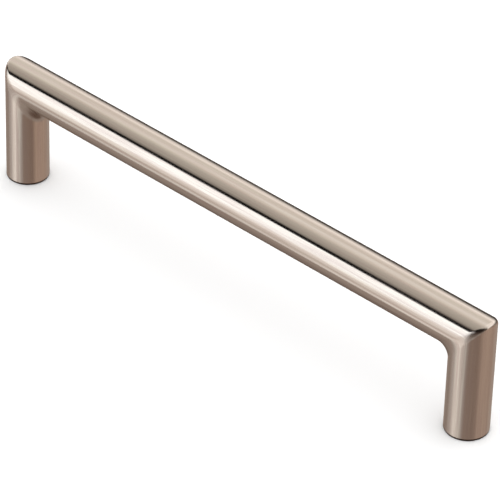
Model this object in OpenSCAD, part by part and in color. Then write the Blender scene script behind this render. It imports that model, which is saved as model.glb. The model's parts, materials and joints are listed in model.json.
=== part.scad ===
// Bar pull handle: one round bar turned down at both ends through mitred corners,
// standing on two feet that are tapped for screws from behind the door.
// It stands on the door face, which is the plane z = 0, with the bar along x.

/* [Bar] */
// Distance between the two screw holes
hole_centres = 160; // [96:1:320]
// Diameter of the round bar and of both legs
bar_d = 12; // [9:0.5:20]
// Distance from the door face to the outside of the bar
projection = 36; // [30:1:60]

/* [Corners] */
// Radius blended into the inside of each mitre
inner_fillet_r = 4; // [1:0.5:6]
// Radius that polishing leaves on the outside edge of each mitre
outer_edge_r = 1; // [0.2:0.1:4]

/* [Feet] */
// Width of the bevel round the foot
foot_bevel = 0.4; // [0.1:0.1:1]

/* [Screw holes] */
// Nominal diameter of the screw thread
thread_d = 4; // [3:0.5:5]
// Distance between two turns of the thread
thread_pitch = 0.7; // [0.5:0.05:0.8]
// Depth of the tapped hole below the foot, before its drilled point
thread_depth = 14; // [8:0.5:16]
// How far the mouth of the hole opens beyond the thread, all round
mouth_relief = 0.3; // [0.1:0.1:0.6]
// Angle of the drill's point
drill_point_angle = 118; // [90:1:140]

/* [Hidden] */
finish_colour = [0.72, 0.68, 0.62];

bar_r = bar_d / 2;
bar_axis_z = projection - bar_r;
tap_drill_r = (thread_d - thread_pitch) / 2;
mouth_r = thread_d / 2 + mouth_relief;
mouth_depth = mouth_r - tap_drill_r;
drill_point_depth = tap_drill_r / tan(drill_point_angle / 2);

// The corner is a loft. Its sides are twice an odd number, which puts a side on the seam
// where the outer and inner halves meet, and a point on the outermost and innermost lines.
corner_sides = 74;
corner_steps = 10;
round_steps = 96;
// The loft wraps the ends of the bar and the leg, and stands this far proud of them.
corner_lap = 0.01;
lap_length = 3;
corner_stub = 1;
corner_r = bar_r + corner_lap;
corner_reach = corner_r + inner_fillet_r + corner_stub;
leg_h = bar_axis_z - corner_reach + lap_length;
straight_bar_l = hole_centres - 2 * (corner_reach - lap_length);

// The radius that one side of the section turns through. It grows evenly from the edge
// outside to the fillet inside, so the crease softens as it comes round the cheeks.
function blend_radius(side) =
  outer_edge_r + (inner_fillet_r - outer_edge_r) * (1 - cos(side)) / 2;

// Where one side of the section goes at one angle of the turn from the leg to the bar.
function blend_point(side, turn) =
  let (offset = corner_r * cos(side), radius = blend_radius(side))
  [offset - radius * (1 - cos(turn)),
   corner_r * sin(side),
   offset - radius * (1 - sin(turn))];

function section_sides() = [for (i = [0 : corner_sides - 1]) 360 * i / corner_sides];

function blend_ring(turn) = [for (side = section_sides()) blend_point(side, turn)];

function leg_ring() =
  [for (side = section_sides()) [corner_r * cos(side), corner_r * sin(side), -corner_reach]];

function bar_ring() =
  [for (side = section_sides()) [-corner_reach, corner_r * sin(side), corner_r * cos(side)]];

// The two triangles of each quad between one ring and the next.
function band_faces(ring) = [
  for (i = [0 : corner_sides - 1])
    let (next = (i + 1) % corner_sides,
         low = ring * corner_sides,
         high = low + corner_sides)
    each [[low + i, high + i, high + next], [low + i, high + next, low + next]]
];

// A closed skin over a list of rings, capped at both ends.
module loft(rings) {
  last = (len(rings) - 1) * corner_sides;
  polyhedron(
    points = [for (ring = rings) each ring],
    faces = concat(
      [[for (i = [0 : corner_sides - 1]) i]],
      [for (ring = [0 : len(rings) - 2]) each band_faces(ring)],
      [[for (i = [corner_sides - 1 : -1 : 0]) last + i]]
    )
  );
}

// The mitred corner round the point where the leg's and the bar's middle lines cross:
// a softened edge outside, and a fillet inside.
module mitred_corner() {
  loft(concat(
    [leg_ring()],
    [for (step = [0 : corner_steps]) blend_ring(90 * step / corner_steps)],
    [bar_ring()]
  ));
}

// A leg, bevelled round its foot.
module leg() {
  rotate_extrude($fn = round_steps)
    polygon([
      [0, 0],
      [bar_r - foot_bevel, 0],
      [bar_r, foot_bevel],
      [bar_r, leg_h],
      [0, leg_h]
    ]);
}

module straight_bar() {
  translate([0, 0, bar_axis_z])
    rotate([0, 90, 0])
      cylinder(h = straight_bar_l, r = bar_r, center = true, $fn = round_steps);
}

// The hole drilled for tapping: its opened mouth, its wall and its drilled point.
module screw_hole() {
  rotate_extrude($fn = round_steps)
    polygon([
      [0, -1],
      [mouth_r, -1],
      [mouth_r, 0],
      [tap_drill_r, mouth_depth],
      [tap_drill_r, thread_depth],
      [0, thread_depth + drill_point_depth]
    ]);
}

// Places its children at both ends, with the corner's outside facing outward.
module at_both_ends() {
  for (end = [0, 1])
    mirror([end, 0, 0])
      translate([hole_centres / 2, 0, 0])
        children();
}

module handle_body() {
  color(finish_colour)
    difference() {
      union() {
        straight_bar();
        at_both_ends() {
          leg();
          translate([0, 0, bar_axis_z]) mitred_corner();
        }
      }
      at_both_ends() screw_hole();
    }
}

handle_body();
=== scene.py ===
"""Bar pull handle: a round bar turned down through mitred corners, standing on two tapped feet.

The handle is one casting in satin nickel, so it is one skin, drawn ring by ring from the bottom of
one screw hole, round the foot, up the leg and along the bar, to the bottom of the other.
"""

import json
import math

import bpy
from bpy.props import FloatProperty, FloatVectorProperty, IntProperty, PointerProperty
from mathutils import Matrix, Vector


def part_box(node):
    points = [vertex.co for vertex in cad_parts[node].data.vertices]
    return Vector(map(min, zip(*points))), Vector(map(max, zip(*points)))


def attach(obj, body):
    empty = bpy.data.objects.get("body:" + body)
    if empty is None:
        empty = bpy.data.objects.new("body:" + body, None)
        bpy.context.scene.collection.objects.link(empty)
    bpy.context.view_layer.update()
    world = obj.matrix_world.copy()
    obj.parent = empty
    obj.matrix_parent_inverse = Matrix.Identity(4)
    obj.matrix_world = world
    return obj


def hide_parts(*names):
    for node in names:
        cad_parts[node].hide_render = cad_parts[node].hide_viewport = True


bl_info = {
    "name": "Bar pull handle",
    "version": (1, 0, 0),
    "blender": (4, 5, 0),
    "location": "3D View > Sidebar > Handle",
    "description": "Builds a satin nickel bar pull handle and the studio it stands in",
    "category": "Object",
}

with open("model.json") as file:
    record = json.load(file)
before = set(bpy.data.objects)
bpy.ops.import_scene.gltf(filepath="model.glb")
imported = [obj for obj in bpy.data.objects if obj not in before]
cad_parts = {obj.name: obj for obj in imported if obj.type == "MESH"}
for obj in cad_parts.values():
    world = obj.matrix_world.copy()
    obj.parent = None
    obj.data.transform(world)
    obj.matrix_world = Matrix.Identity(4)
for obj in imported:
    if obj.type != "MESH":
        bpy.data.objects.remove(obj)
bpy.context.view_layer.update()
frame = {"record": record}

HANDLE_NODE = "handle_body"
MM = 0.001
TENTH_MM_PLACES = 4
node_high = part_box(HANDLE_NODE)[1]
mounts = {mount["name"]: mount for mount in frame["record"]["mounts"]}
right_hole = mounts["screw_hole_right"]

# The photo's camera: where it looks from and how it frames the handle, in a 500 by 500 picture.
PHOTO_SIZE = 500
PHOTO_AZIMUTH = math.radians(42.317)
PHOTO_ELEVATION = math.radians(35.581)
PHOTO_ROLL = math.radians(1.681)
PHOTO_DISTANCE = 0.9804
PHOTO_FOCAL_PIXELS = 3723.6
PHOTO_CENTRE_X = 239.165
PHOTO_CENTRE_Y = 239.409
SENSOR_WIDTH_MM = 36.0

# Tints of the light that the studio throws, before each panel's own strength.
WHITE = (1.0, 1.02, 1.03)
CREAM = (1.0, 0.94, 0.88)
GREIGE = (1.0, 0.92, 0.81)
SAND = (1.0, 0.82, 0.71)
TAN = (1.0, 0.71, 0.55)
BROWN = (1.0, 0.61, 0.44)

# Light round the bar. Each stop is an angle in degrees from straight up towards the front,
# the tint there and its strength.
ROUND_THE_BAR = [
    (-180, SAND, 0.27),
    (-150, TAN, 0.15),
    (-115, TAN, 0.12),
    (-98, GREIGE, 0.06),
    (-89, GREIGE, 0.06),
    (-76, CREAM, 0.85),
    (-62, CREAM, 1.25),
    (-44, GREIGE, 0.74),
    (-20, CREAM, 0.96),
    (-8, GREIGE, 0.80),
    (4, GREIGE, 0.56),
    (30, GREIGE, 0.44),
    (39, GREIGE, 0.28),
    (41.5, BROWN, 0.0),
    (54, BROWN, 0.0),
    (56.5, WHITE, 1.62),
    (92, WHITE, 1.48),
    (102, CREAM, 1.12),
    (114, CREAM, 0.92),
    (121, SAND, 0.56),
    (130, SAND, 0.36),
    (155, SAND, 0.38),
    (180, SAND, 0.27),
]

# Light past both ends, which only the edges of the corners turn towards, by the same angle.
PAST_THE_END = [
    (-135, TAN, 0.46),
    (-95, GREIGE, 0.10),
    (-70, CREAM, 1.30),
    (0, CREAM, 1.05),
    (28, GREIGE, 0.50),
    (38, BROWN, 0.0),
    (70, BROWN, 0.02),
    (95, TAN, 0.15),
    (113, CREAM, 0.50),
    (124, TAN, 0.30),
    (135, TAN, 0.24),
    (180, TAN, 0.46),
]

# Light from below, round the legs. Each stop is a compass angle in degrees from +X towards +Y.
ROUND_THE_LEGS = [
    (-180, SAND, 0.32),
    (-162, SAND, 0.38),
    (-140, CREAM, 0.56),
    (-124, CREAM, 1.16),
    (-106, CREAM, 1.24),
    (-90, CREAM, 0.88),
    (-80, CREAM, 0.62),
    (-67, BROWN, 0.22),
    (-20, BROWN, 0.22),
    (-2, TAN, 0.46),
    (55, TAN, 0.47),
    (90, SAND, 0.44),
    (130, SAND, 0.42),
    (180, SAND, 0.34),
]

# Where one panel of light gives way to the next, as parts x and z of a direction one long.
LEFT_END_X = (-0.80, -0.92)
RIGHT_END_X = (-0.32, -0.10)
BAR_TO_FILLET_X = (-0.45, -0.25)
ABOVE_TO_LEGS_Z = (-0.40, -0.56)
LEGS_TO_UNDER_Z = (-0.60, -0.68)
STRAIGHT_BELOW_Z = (-0.86, -0.98)

# The unwrapping's length for each metre along the metal. Round it, it is one long.
UV_A_METRE = 10

# The part of the noise's range that the materials use, from dull to bright.
NOISE_LOW = 0.38
NOISE_HIGH = 0.62

# The handle's materials, in the order of its slots.
PLATE, SHADED_RIM, FACED_FOOT, THREAD = range(4)


class HandleSizes(bpy.types.PropertyGroup):
    """Sizes of the handle, taken from the model it stands for."""

    hole_centres: FloatProperty(
        name="Hole centres",
        description="Distance between the two screw holes",
        default=2 * right_hole["pos_m"][0],
        unit="LENGTH",
    )
    bar_radius: FloatProperty(
        name="Bar radius",
        description="Radius of the bar and of both legs",
        default=round(node_high.y, TENTH_MM_PLACES),
        unit="LENGTH",
    )
    projection: FloatProperty(
        name="Projection",
        description="Distance from the door's face to the outside of the bar",
        default=round(node_high.z, TENTH_MM_PLACES),
        unit="LENGTH",
    )
    inner_fillet: FloatProperty(
        name="Inner fillet",
        description="Radius blended into the inside of each mitre",
        default=4 * MM,
        unit="LENGTH",
    )
    outer_edge: FloatProperty(
        name="Outer edge",
        description="Radius that polishing leaves on the outside edge of each mitre",
        default=1 * MM,
        unit="LENGTH",
    )
    foot_bevel: FloatProperty(
        name="Foot bevel",
        description="Width of the bevel round the foot",
        default=0.4 * MM,
        unit="LENGTH",
    )
    # Painted shade: the band above the bevel gets a near-black colour that stands in for the shaded gap
    # where the foot meets the floor.
    shaded_foot_rim: FloatProperty(
        name="Foot rim",
        description="Height of the dull rim above the bevel, which brushing doesn't reach",
        default=0.25 * MM,
        unit="LENGTH",
    )
    drill_radius: FloatProperty(
        name="Drill radius",
        description="Radius of the hole before it is tapped, which is the thread's crest",
        default=right_hole["dims"]["r_mm"] * MM,
        unit="LENGTH",
    )
    thread_radius: FloatProperty(
        name="Thread radius",
        description="Radius at the root of the thread",
        default=2.0 * MM,
        unit="LENGTH",
    )
    thread_pitch: FloatProperty(
        name="Thread pitch",
        description="Distance between two turns of the thread",
        default=0.7 * MM,
        unit="LENGTH",
    )
    hole_depth: FloatProperty(
        name="Hole depth",
        description="Depth of the screw hole before its drilled point",
        default=14 * MM,
        unit="LENGTH",
    )
    drill_point_angle: FloatProperty(
        name="Drill point angle",
        description="Angle of the cone that the drill leaves at the bottom of the hole",
        default=math.radians(118),
        subtype="ANGLE",
    )
    mouth_relief: FloatProperty(
        name="Mouth relief",
        description="How far the mouth of the hole opens beyond the thread",
        default=0.3 * MM,
        unit="LENGTH",
    )
    sides: IntProperty(
        name="Sides",
        description="Number of faces round the bar",
        default=96,
        min=24,
    )


class NickelFinish(bpy.types.PropertyGroup):
    """Colours and polish of the nickel plate."""

    plate_colour: FloatVectorProperty(
        name="Plate",
        description="Colour of the satin nickel where it is brightest",
        default=(0.735, 0.69, 0.635),
        subtype="COLOR",
    )
    plate_shade: FloatVectorProperty(
        name="Plate shade",
        description="Colour of the satin nickel in its duller streaks",
        default=(0.68, 0.60, 0.56),
        subtype="COLOR",
    )
    # Painted shade: this near-black colour on the foot's bevel and rim stands in for the dark reflection
    # of the shaded contact under the foot.
    rim_shade_colour: FloatVectorProperty(
        name="Rim",
        description="Colour of the thin dark line round the foot",
        default=(0.08, 0.06, 0.05),
        subtype="COLOR",
    )
    thread_colour: FloatVectorProperty(
        name="Thread",
        description="Colour of the cut metal in the screw holes",
        default=(0.50, 0.47, 0.43),
        subtype="COLOR",
    )
    polish: FloatProperty(
        name="Roughness",
        description="Roughness of the satin finish, across the brushing",
        default=0.20,
        subtype="FACTOR",
    )
    polish_change: FloatProperty(
        name="Roughness change",
        description="How far the roughness of the satin finish changes from streak to streak",
        default=0.04,
        subtype="FACTOR",
    )
    brushing: FloatProperty(
        name="Brushing",
        description="How far the brushing drags the reflections out along the metal",
        default=0.92,
        subtype="FACTOR",
    )
    mark_depth: FloatProperty(
        name="Mark depth",
        description="Depth of the brushing and of the marks of cutting tools",
        default=0.02 * MM,
        unit="LENGTH",
    )


class StudioSettings(bpy.types.PropertyGroup):
    """Colours and strengths of the studio."""

    floor_colour: FloatVectorProperty(
        name="Floor",
        description="Colour of the pale floor",
        default=(0.90, 0.90, 0.90),
        subtype="COLOR",
    )
    floor_size: FloatProperty(
        name="Floor size",
        description="Length of each side of the floor",
        default=1.4,
        unit="LENGTH",
    )
    panel_strength: FloatProperty(
        name="Panel strength",
        description="Brightness of the light panels that the metal reflects",
        default=1.0,
    )
    fillet_strength: FloatProperty(
        name="Fillet strength",
        description="Brightness low in front, which the fillet inside each corner reflects",
        default=0.34,
    )
    under_strength: FloatProperty(
        name="Under strength",
        description="Brightness straight below, which darkens the fillet under the bar",
        default=0.12,
    )
    key_power: FloatProperty(
        name="Key light",
        description="Power of the soft light above, which gives the floor its shade",
        default=118.0,
        unit="POWER",
    )
    key_size: FloatProperty(
        name="Key size",
        description="Distance across the soft light",
        default=5.0,
        unit="LENGTH",
    )
    key_height: FloatProperty(
        name="Key height",
        description="Height of the soft light above the floor",
        default=1.5,
        unit="LENGTH",
    )


def section_ring(sides, place):
    """One ring of points, each placed from its outward and sideways share of the section."""
    angles = [2 * math.pi * i / sides for i in range(sides)]
    return [place(math.cos(angle), math.sin(angle)) for angle in angles]


def bar_rings(sizes, axis_z, reach):
    """Flat rings from the middle of the bar to the start of the corner."""
    end = sizes.hole_centres / 2 - reach
    steps = 24
    return [
        section_ring(
            sizes.sides,
            lambda out, side, x=end * k / steps: (
                x,
                sizes.bar_radius * side,
                axis_z + sizes.bar_radius * out,
            ),
        )
        for k in range(steps + 1)
    ]


def corner_rings(sizes, axis_z):
    """Rings through the mitred corner, from the bar down to the leg.

    The radius of the blend grows all the way round the section, from a crisp edge outside, through
    the cheeks, where the crease fades, to the fillet inside.
    """
    steps = 28

    def place(out, side, turn):
        offset = sizes.bar_radius * out
        blend = sizes.outer_edge + (sizes.inner_fillet - sizes.outer_edge) * (1 - out) / 2
        return (
            sizes.hole_centres / 2 + offset - blend * (1 - math.cos(turn)),
            sizes.bar_radius * side,
            axis_z + offset - blend * (1 - math.sin(turn)),
        )

    turns = [math.pi / 2 * (1 - k / steps) for k in range(steps + 1)]
    return [
        section_ring(sizes.sides, lambda out, side, turn=turn: place(out, side, turn))
        for turn in turns
    ]


def turned_ring(sizes, radius, z):
    """One level ring round the screw hole's middle line."""
    return section_ring(
        sizes.sides,
        lambda out, side: (sizes.hole_centres / 2 + radius * out, radius * side, z),
    )


def between(first, last, count):
    """Rings evenly spaced between two rings, without either of them."""
    return [
        [tuple(Vector(a).lerp(Vector(b), k / (count + 1))) for a, b in zip(first, last)]
        for k in range(1, count + 1)
    ]


def shaded_rim_rings(sizes):
    """Rings round the rim of the foot and its softened bevel, which carry painted shade."""
    steps = 5
    turns = [math.pi / 2 * k / steps for k in range(steps + 1)]
    return [
        turned_ring(
            sizes,
            sizes.bar_radius - sizes.foot_bevel * (1 - math.cos(turn)),
            sizes.foot_bevel * (1 - math.sin(turn)),
        )
        for turn in turns
    ]


def face_rings(sizes):
    """Rings across the flat face of the foot, to the hole's mouth."""
    outer = sizes.bar_radius - sizes.foot_bevel
    mouth = sizes.thread_radius + sizes.mouth_relief
    shares = (0.03, 0.35, 0.65, 0.97, 1.0)
    return [turned_ring(sizes, outer * (1 - share) + mouth * share, 0) for share in shares]


def thread_rings(sizes):
    """Rings up the countersunk mouth and the wall of the hole, where the thread fades before its end.

    Of each turn of the thread a quarter is root, a quarter crest and a quarter each flank.
    """
    mouth = sizes.thread_radius + sizes.mouth_relief
    rows_a_pitch = 8
    row_height = sizes.thread_pitch / rows_a_pitch
    plain_turns = 2
    thread_end = sizes.hole_depth - plain_turns * sizes.thread_pitch
    cut = sizes.thread_radius - sizes.drill_radius
    flank_width = 0.25
    rows = round(sizes.hole_depth / row_height)
    rings = []
    for row in range(1, rows):
        z = row * row_height
        fade = min(max((thread_end - z) / sizes.thread_pitch, 0.0), 1.0)

        def place(out, side, z=z, fade=fade):
            turn = math.atan2(side, out) / (2 * math.pi)
            phase = (z / sizes.thread_pitch + turn) % 1.0
            flank = min(max(1.5 - abs(phase - 0.5) / flank_width, 0.0), 1.0)
            radius = max(sizes.drill_radius + cut * flank * fade, mouth - z)
            return (sizes.hole_centres / 2 + radius * out, radius * side, z)

        rings.append(section_ring(sizes.sides, place))
    rings.append(turned_ring(sizes, sizes.drill_radius, sizes.hole_depth))
    return rings


def drill_point(sizes):
    """Depth of the cone that the drill leaves at the bottom of the hole."""
    return sizes.drill_radius / math.tan(sizes.drill_point_angle / 2)


def path_lengths(rings):
    """Distance travelled from the first ring to each ring, along the side of the section."""
    travelled = [0.0]
    quarter = len(rings[0]) // 4
    for before, after in zip(rings, rings[1:]):
        travelled.append(travelled[-1] + (Vector(after[quarter]) - Vector(before[quarter])).length)
    return travelled


def plated_rings(sizes):
    """Rings from the middle of the bar, through the corner and down the leg to the foot's rim."""
    axis_z = sizes.projection - sizes.bar_radius
    corner_margin = 0.3 * MM
    reach = sizes.bar_radius + sizes.inner_fillet + corner_margin
    rings_to_corner = 4
    rings_down_leg = 5
    bar = bar_rings(sizes, axis_z, reach)
    corner = corner_rings(sizes, axis_z)
    leg_top = turned_ring(sizes, sizes.bar_radius, axis_z - reach)
    leg_end = turned_ring(sizes, sizes.bar_radius, sizes.foot_bevel + sizes.shaded_foot_rim)
    return (
        bar
        + between(bar[-1], corner[0], rings_to_corner)
        + corner
        + between(corner[-1], leg_top, rings_to_corner)
        + [leg_top]
        + between(leg_top, leg_end, rings_down_leg)
        + [leg_end]
    )


def handle_rings(sizes):
    """All the rings, from the bottom of one hole to the bottom of the other, and each band's material."""
    sections = (
        (plated_rings(sizes), PLATE),
        (shaded_rim_rings(sizes), SHADED_RIM),
        (face_rings(sizes), FACED_FOOT),
        (thread_rings(sizes), THREAD),
    )
    half = [ring for section, finish in sections for ring in section]
    finishes = [finish for section, finish in sections for ring in section]
    mirrored = [[(-x, y, z) for x, y, z in ring] for ring in reversed(half[1:])]
    return mirrored + half, finishes[:0:-1] + finishes[1:]


def handle_mesh(sizes):
    """The whole skin of the handle, with its unwrapping and materials."""
    rings, band_finishes = handle_rings(sizes)
    count = sizes.sides
    vertices = [point for ring in rings for point in ring]
    apex_z = sizes.hole_depth + drill_point(sizes)
    apexes = [len(vertices), len(vertices) + 1]
    vertices += [(-sizes.hole_centres / 2, 0, apex_z), (sizes.hole_centres / 2, 0, apex_z)]

    travelled = path_lengths(rings)
    faces = []
    corners = []
    face_finishes = []
    for k, finish in enumerate(band_finishes):
        first = k * count
        second = first + count
        for i in range(count):
            after = (i + 1) % count
            faces.append((first + i, first + after, second + after, second + i))
            low, high = i / count, (i + 1) / count
            corners += [
                (travelled[k], low),
                (travelled[k], high),
                (travelled[k + 1], high),
                (travelled[k + 1], low),
            ]
            face_finishes.append(finish)
    last = (len(rings) - 1) * count
    for i in range(count):
        after = (i + 1) % count
        middle = (i + 0.5) / count
        low, high = i / count, (i + 1) / count
        faces.append((apexes[0], after, i))
        corners += [(0.0, middle), (travelled[0], high), (travelled[0], low)]
        faces.append((apexes[1], last + i, last + after))
        corners += [(travelled[-1], middle), (travelled[-1], low), (travelled[-1], high)]
        face_finishes += [THREAD, THREAD]

    mesh = bpy.data.meshes.new("handle")
    mesh.from_pydata(vertices, [], faces)
    layer = mesh.uv_layers.new(name="brushing")
    for loop, (along, around) in zip(layer.data, corners):
        loop.uv = (along * UV_A_METRE, around)
    for polygon, finish in zip(mesh.polygons, face_finishes):
        polygon.use_smooth = True
        polygon.material_index = finish
    mesh.update()
    return mesh


def new_group(name, inputs, outputs):
    """An empty shader node group with named sockets."""
    group = bpy.data.node_groups.new(name, "ShaderNodeTree")
    for socket, default in inputs:
        made = group.interface.new_socket(socket, in_out="INPUT", socket_type="NodeSocketFloat")
        made.default_value = default
    for socket, kind in outputs:
        group.interface.new_socket(socket, in_out="OUTPUT", socket_type=kind)
    return group


def streak_group():
    """Soft streaks along the metal and fine brushing round it, as two masks."""
    group = new_group(
        "brushed_streaks",
        [("Streak Scale", 1.0), ("Brush Scale", 1.0)],
        [("Streaks", "NodeSocketFloat"), ("Brushing", "NodeSocketFloat")],
    )
    nodes, links = group.nodes, group.links
    entry = nodes.new("NodeGroupInput")
    leave = nodes.new("NodeGroupOutput")
    place = nodes.new("ShaderNodeTexCoord")
    unwrapped = nodes.new("ShaderNodeUVMap")
    unwrapped.uv_map = "brushing"
    split = nodes.new("ShaderNodeSeparateXYZ")
    links.new(unwrapped.outputs["UV"], split.inputs[0])

    # Streaks run along the metal: they change quickly round the section and slowly along it.
    change_along = 0.35
    streaks_round = 8.0
    turn = nodes.new("ShaderNodeMath")
    turn.operation = "MULTIPLY"
    turn.inputs[1].default_value = 2 * math.pi
    links.new(split.outputs["Y"], turn.inputs[0])
    round_x = nodes.new("ShaderNodeMath")
    round_x.operation = "COSINE"
    round_y = nodes.new("ShaderNodeMath")
    round_y.operation = "SINE"
    links.new(turn.outputs[0], round_x.inputs[0])
    links.new(turn.outputs[0], round_y.inputs[0])
    joined = nodes.new("ShaderNodeCombineXYZ")
    links.new(round_x.outputs[0], joined.inputs["X"])
    links.new(round_y.outputs[0], joined.inputs["Y"])
    onward = nodes.new("ShaderNodeMath")
    onward.operation = "MULTIPLY"
    onward.inputs[1].default_value = change_along
    links.new(split.outputs["X"], onward.inputs[0])
    links.new(onward.outputs[0], joined.inputs["Z"])
    streaks = nodes.new("ShaderNodeTexNoise")
    streaks.inputs["Detail"].default_value = 5.0
    streaks.inputs["Roughness"].default_value = 0.7
    links.new(joined.outputs[0], streaks.inputs["Vector"])
    streak_scale = nodes.new("ShaderNodeMath")
    streak_scale.operation = "MULTIPLY"
    streak_scale.inputs[1].default_value = streaks_round
    links.new(entry.outputs["Streak Scale"], streak_scale.inputs[0])
    links.new(streak_scale.outputs[0], streaks.inputs["Scale"])
    links.new(streaks.outputs["Fac"], leave.inputs["Streaks"])

    # Brushing runs round the metal: it changes quickly along it and slowly round the section.
    brushing = nodes.new("ShaderNodeTexNoise")
    brushing.noise_dimensions = "4D"
    brushing.inputs["Detail"].default_value = 2.0
    brushing.inputs["Scale"].default_value = 60.0
    links.new(place.outputs["Object"], brushing.inputs["Vector"])
    along = nodes.new("ShaderNodeMath")
    along.operation = "MULTIPLY"
    links.new(split.outputs["X"], along.inputs[0])
    links.new(entry.outputs["Brush Scale"], along.inputs[1])
    links.new(along.outputs[0], brushing.inputs["W"])
    links.new(brushing.outputs["Fac"], leave.inputs["Brushing"])
    return group


def new_material(name):
    """A material with its shader, and its node tree's nodes and links."""
    material = bpy.data.materials.new(name)
    material.use_nodes = True
    nodes = material.node_tree.nodes
    return material, nodes["Principled BSDF"], nodes, material.node_tree.links


def mapped(nodes, links, source, low, high):
    """The noise's range from dull to bright, mapped to the given values."""
    node = nodes.new("ShaderNodeMapRange")
    node.inputs["From Min"].default_value = NOISE_LOW
    node.inputs["From Max"].default_value = NOISE_HIGH
    node.inputs["To Min"].default_value = low
    node.inputs["To Max"].default_value = high
    links.new(source, node.inputs["Value"])
    return node.outputs["Result"]


def mixed_colour(nodes, links, factor, first, second):
    """A colour mixed between two by a mask."""
    node = nodes.new("ShaderNodeMix")
    node.data_type = "RGBA"
    node.inputs["A"].default_value = (*first, 1)
    node.inputs["B"].default_value = (*second, 1)
    links.new(factor, node.inputs["Factor"])
    return node.outputs["Result"]


def pattern_masks(nodes, streaks, streak_scale, brush_scale):
    """The streak and brushing masks of the shared pattern, at the given scales."""
    pattern = nodes.new("ShaderNodeGroup")
    pattern.node_tree = streaks
    pattern.inputs["Streak Scale"].default_value = streak_scale
    pattern.inputs["Brush Scale"].default_value = brush_scale
    return pattern.outputs["Streaks"], pattern.outputs["Brushing"]


def fine_marks(nodes, links, shader, height, strength, depth):
    """Shallow marks in the surface, from a mask of their height."""
    bump = nodes.new("ShaderNodeBump")
    bump.inputs["Strength"].default_value = strength
    bump.inputs["Distance"].default_value = depth
    links.new(height, bump.inputs["Height"])
    links.new(bump.outputs["Normal"], shader.inputs["Normal"])


def satin_nickel(finish, streaks):
    """Nickel plate brushed round the bar, which drags its reflections out along it."""
    material, shader, nodes, links = new_material("satin_nickel")
    streak, brushing = pattern_masks(nodes, streaks, streak_scale=1.0, brush_scale=900.0)
    tone = mapped(nodes, links, streak, 0.0, 1.0)
    colour = mixed_colour(nodes, links, tone, finish.plate_shade, finish.plate_colour)
    links.new(colour, shader.inputs["Base Color"])
    dullest = finish.polish + finish.polish_change
    brightest = finish.polish - finish.polish_change
    links.new(mapped(nodes, links, streak, dullest, brightest), shader.inputs["Roughness"])
    fine_marks(nodes, links, shader, brushing, strength=0.06, depth=finish.mark_depth)
    tangent = nodes.new("ShaderNodeTangent")
    tangent.direction_type = "UV_MAP"
    tangent.uv_map = "brushing"
    links.new(tangent.outputs["Tangent"], shader.inputs["Tangent"])
    shader.inputs["Metallic"].default_value = 1.0
    shader.inputs["Anisotropic"].default_value = finish.brushing
    return material


def cut_metal(name, colour, roughness, finish, streaks):
    """Metal left by a cutting tool, which runs round and round and leaves it duller than the plate. Given
    a near-black colour, it paints shade on the foot's rim.
    """
    material, shader, nodes, links = new_material(name)
    streak, brushing = pattern_masks(nodes, streaks, streak_scale=0.3, brush_scale=1000.0)
    tone = mapped(nodes, links, streak, 0.0, 1.0)
    shade = [0.85 * part for part in colour]
    links.new(mixed_colour(nodes, links, tone, shade, colour), shader.inputs["Base Color"])
    change = 0.08
    dull = mapped(nodes, links, brushing, roughness + change, roughness - change)
    links.new(dull, shader.inputs["Roughness"])
    fine_marks(nodes, links, shader, brushing, strength=0.3, depth=finish.mark_depth)
    shader.inputs["Metallic"].default_value = 1.0
    return material


def link_object(name, data):
    """A new object in the scene."""
    made = bpy.data.objects.new(name, data)
    bpy.context.scene.collection.objects.link(made)
    return made


class HANDLE_OT_body(bpy.types.Operator):
    """Build the handle in one skin, with its feet and tapped holes"""

    bl_idname = "handle.body"
    bl_label = "Handle body"

    def execute(self, context):
        sizes = context.scene.handle_sizes
        finish = context.scene.nickel_finish
        mesh = handle_mesh(sizes)
        streaks = streak_group()
        mesh.materials.append(satin_nickel(finish, streaks))
        # The shaded rim is painted shade, a near-black colour in place of the dark contact that the edge
        # reflects; the faced foot and the thread are cut metal.
        for name, colour, roughness in (
            ("shaded_foot_rim", finish.rim_shade_colour, 0.30),
            ("faced_foot", finish.plate_shade, 0.30),
            ("cut_thread", finish.thread_colour, 0.38),
        ):
            mesh.materials.append(cut_metal(name, colour, roughness, finish, streaks))
        handle = link_object("handle", mesh)
        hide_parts(HANDLE_NODE)
        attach(handle, "root")
        return {"FINISHED"}


def light_ramp(nodes, links, angle, stops):
    """Light that changes with an angle in radians, through a list of panels."""
    turn = nodes.new("ShaderNodeMapRange")
    turn.inputs["From Min"].default_value = -math.pi
    turn.inputs["From Max"].default_value = math.pi
    links.new(angle, turn.inputs["Value"])
    ramp = nodes.new("ShaderNodeValToRGB")
    links.new(turn.outputs["Result"], ramp.inputs["Fac"])
    elements = ramp.color_ramp.elements
    while len(elements) > 1:
        elements.remove(elements[-1])
    for k, (degrees, tint, strength) in enumerate(stops):
        position = (degrees + 180) / 360
        if k == 0:
            element = elements[0]
            element.position = position
        else:
            element = elements.new(position)
        element.color = (*(strength * part for part in tint), 1)
    return ramp.outputs["Color"]


def plain_light(nodes, tint, strength):
    """Light of one tint and strength."""
    node = nodes.new("ShaderNodeRGB")
    node.outputs[0].default_value = (*(strength * part for part in tint), 1)
    return node.outputs[0]


def angle_of(nodes, links, upward, onward):
    """The angle of a direction from two of its parts."""
    node = nodes.new("ShaderNodeMath")
    node.operation = "ARCTAN2"
    links.new(onward, node.inputs[0])
    links.new(upward, node.inputs[1])
    return node.outputs[0]


def panel_change(nodes, links, part, span, first, second):
    """Light that changes softly from one panel to another as a direction's part crosses a span."""
    change = nodes.new("ShaderNodeMapRange")
    change.interpolation_type = "SMOOTHSTEP"
    change.inputs["From Min"].default_value = span[0]
    change.inputs["From Max"].default_value = span[1]
    links.new(part, change.inputs["Value"])
    panel = nodes.new("ShaderNodeMix")
    panel.data_type = "RGBA"
    links.new(change.outputs["Result"], panel.inputs["Factor"])
    links.new(first, panel.inputs["A"])
    links.new(second, panel.inputs["B"])
    return panel.outputs["Result"]


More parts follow.
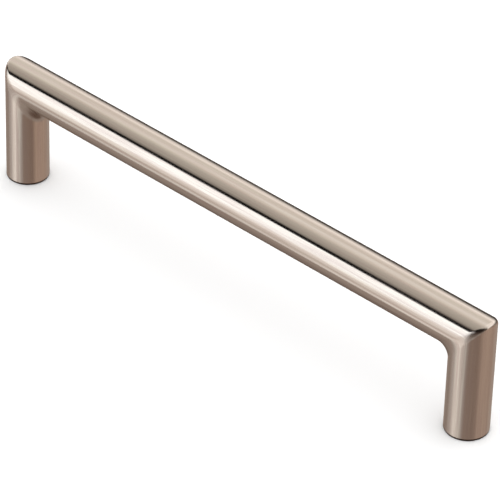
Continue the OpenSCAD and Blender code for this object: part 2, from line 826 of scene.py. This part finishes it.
def studio_world(studio):
    """White to the camera. The metal sees panels above, round the bar, and below, round the legs."""
    world = bpy.data.worlds.new("studio")
    world.use_nodes = True
    bpy.context.scene.world = world
    world.cycles_visibility.diffuse = False
    nodes, links = world.node_tree.nodes, world.node_tree.links
    nodes.clear()
    direction = nodes.new("ShaderNodeTexCoord")
    parts = nodes.new("ShaderNodeSeparateXYZ")
    links.new(direction.outputs["Generated"], parts.inputs[0])
    x, y, z = (parts.outputs[name] for name in "XYZ")
    frontward = nodes.new("ShaderNodeMath")
    frontward.operation = "MULTIPLY"
    frontward.inputs[1].default_value = -1.0
    links.new(y, frontward.inputs[0])

    bar_angle = angle_of(nodes, links, z, frontward.outputs[0])
    round_bar = light_ramp(nodes, links, bar_angle, ROUND_THE_BAR)
    past_end = light_ramp(nodes, links, bar_angle, PAST_THE_END)
    above = panel_change(nodes, links, x, RIGHT_END_X, round_bar, past_end)
    above = panel_change(nodes, links, x, LEFT_END_X, above, past_end)
    round_legs = light_ramp(nodes, links, angle_of(nodes, links, x, y), ROUND_THE_LEGS)
    fillet_light = plain_light(nodes, SAND, studio.fillet_strength)
    under_bar = panel_change(nodes, links, x, BAR_TO_FILLET_X, round_bar, fillet_light)
    below = panel_change(nodes, links, z, LEGS_TO_UNDER_Z, round_legs, under_bar)
    under_light = plain_light(nodes, BROWN, studio.under_strength)
    below = panel_change(nodes, links, z, STRAIGHT_BELOW_Z, below, under_light)
    panels = panel_change(nodes, links, z, ABOVE_TO_LEGS_Z, above, below)

    lit = nodes.new("ShaderNodeBackground")
    lit.inputs["Strength"].default_value = studio.panel_strength
    links.new(panels, lit.inputs["Color"])
    plain = nodes.new("ShaderNodeBackground")
    plain.inputs["Color"].default_value = (1, 1, 1, 1)
    seen = nodes.new("ShaderNodeLightPath")
    choice = nodes.new("ShaderNodeMixShader")
    links.new(seen.outputs["Is Camera Ray"], choice.inputs["Fac"])
    links.new(lit.outputs[0], choice.inputs[1])
    links.new(plain.outputs[0], choice.inputs[2])
    leave = nodes.new("ShaderNodeOutputWorld")
    links.new(choice.outputs[0], leave.inputs["Surface"])


def pale_floor(studio):
    """A pale floor that the metal doesn't reflect, and that is clear from underneath."""
    half = studio.floor_size / 2
    mesh = bpy.data.meshes.new("floor")
    corners = [(-half, -half, 0), (half, -half, 0), (half, half, 0), (-half, half, 0)]
    mesh.from_pydata(corners, [], [(0, 1, 2, 3)])
    material, shader, nodes, links = new_material("pale_floor")
    shader.inputs["Base Color"].default_value = (*studio.floor_colour, 1)
    shader.inputs["Roughness"].default_value = 1.0
    shader.inputs["Specular IOR Level"].default_value = 0.0
    facing = nodes.new("ShaderNodeNewGeometry")
    clear = nodes.new("ShaderNodeBsdfTransparent")
    choice = nodes.new("ShaderNodeMixShader")
    links.new(facing.outputs["Backfacing"], choice.inputs["Fac"])
    links.new(shader.outputs["BSDF"], choice.inputs[1])
    links.new(clear.outputs["BSDF"], choice.inputs[2])
    links.new(choice.outputs["Shader"], nodes["Material Output"].inputs["Surface"])
    mesh.materials.append(material)
    floor = link_object("floor", mesh)
    floor.visible_glossy = False
    floor.visible_shadow = False


def key_light(studio):
    """A wide soft light straight above, facing down."""
    lamp = bpy.data.lights.new("key", "AREA")
    lamp.shape = "DISK"
    lamp.size = studio.key_size
    lamp.energy = studio.key_power
    key = link_object("key", lamp)
    key.location = (0, 0, studio.key_height)
    key.visible_glossy = False
    key.visible_camera = False


def photo_camera(projection):
    """The camera at the photo's viewing angle, distance and framing."""
    back = Vector((
        math.sin(PHOTO_AZIMUTH) * math.cos(PHOTO_ELEVATION),
        -math.cos(PHOTO_AZIMUTH) * math.cos(PHOTO_ELEVATION),
        math.sin(PHOTO_ELEVATION),
    ))
    level_right = Vector((math.cos(PHOTO_AZIMUTH), math.sin(PHOTO_AZIMUTH), 0))
    level_up = back.cross(level_right)
    right = level_right * math.cos(PHOTO_ROLL) + level_up * math.sin(PHOTO_ROLL)
    up = level_up * math.cos(PHOTO_ROLL) - level_right * math.sin(PHOTO_ROLL)
    data = bpy.data.cameras.new("photo_camera")
    data.sensor_width = SENSOR_WIDTH_MM
    data.lens = PHOTO_FOCAL_PIXELS / PHOTO_SIZE * SENSOR_WIDTH_MM
    data.shift_x = (PHOTO_SIZE / 2 - PHOTO_CENTRE_X) / PHOTO_SIZE
    data.shift_y = (PHOTO_CENTRE_Y - PHOTO_SIZE / 2) / PHOTO_SIZE
    data.clip_start = 0.01
    data.clip_end = 20.0
    camera = link_object("photo_camera", data)
    place = Vector((0, 0, projection / 2)) + back * PHOTO_DISTANCE
    turn = Matrix((right, up, back)).transposed().to_4x4()
    camera.matrix_world = Matrix.Translation(place) @ turn
    bpy.context.scene.camera = camera


class HANDLE_OT_studio(bpy.types.Operator):
    """Build the pale floor, the soft light and the camera"""

    bl_idname = "handle.studio"
    bl_label = "Studio"

    def execute(self, context):
        studio = context.scene.studio_settings
        studio_world(studio)
        pale_floor(studio)
        key_light(studio)
        photo_camera(context.scene.handle_sizes.projection)
        context.scene.view_settings.view_transform = "Standard"
        return {"FINISHED"}


class HANDLE_PT_build(bpy.types.Panel):
    """Lists what can be built and its sizes"""

    bl_idname = "HANDLE_PT_build"
    bl_label = "Bar pull handle"
    bl_space_type = "VIEW_3D"
    bl_region_type = "UI"
    bl_category = "Handle"

    def draw(self, context):
        for group in (
            context.scene.handle_sizes,
            context.scene.nickel_finish,
            context.scene.studio_settings,
        ):
            box = self.layout.box()
            for name in group.__annotations__:
                box.prop(group, name)
        for operator in OPERATORS:
            self.layout.operator(operator.bl_idname)


OPERATORS = (HANDLE_OT_body, HANDLE_OT_studio)
CLASSES = (HandleSizes, NickelFinish, StudioSettings, *OPERATORS, HANDLE_PT_build)


def register():
    for cls in CLASSES:
        bpy.utils.register_class(cls)
    bpy.types.Scene.handle_sizes = PointerProperty(type=HandleSizes)
    bpy.types.Scene.nickel_finish = PointerProperty(type=NickelFinish)
    bpy.types.Scene.studio_settings = PointerProperty(type=StudioSettings)


def unregister():
    del bpy.types.Scene.studio_settings
    del bpy.types.Scene.nickel_finish
    del bpy.types.Scene.handle_sizes
    for cls in reversed(CLASSES):
        bpy.utils.unregister_class(cls)


def main():
    register()
    bpy.ops.handle.body()
    bpy.ops.handle.studio()


if __name__ == "__main__":
    main()
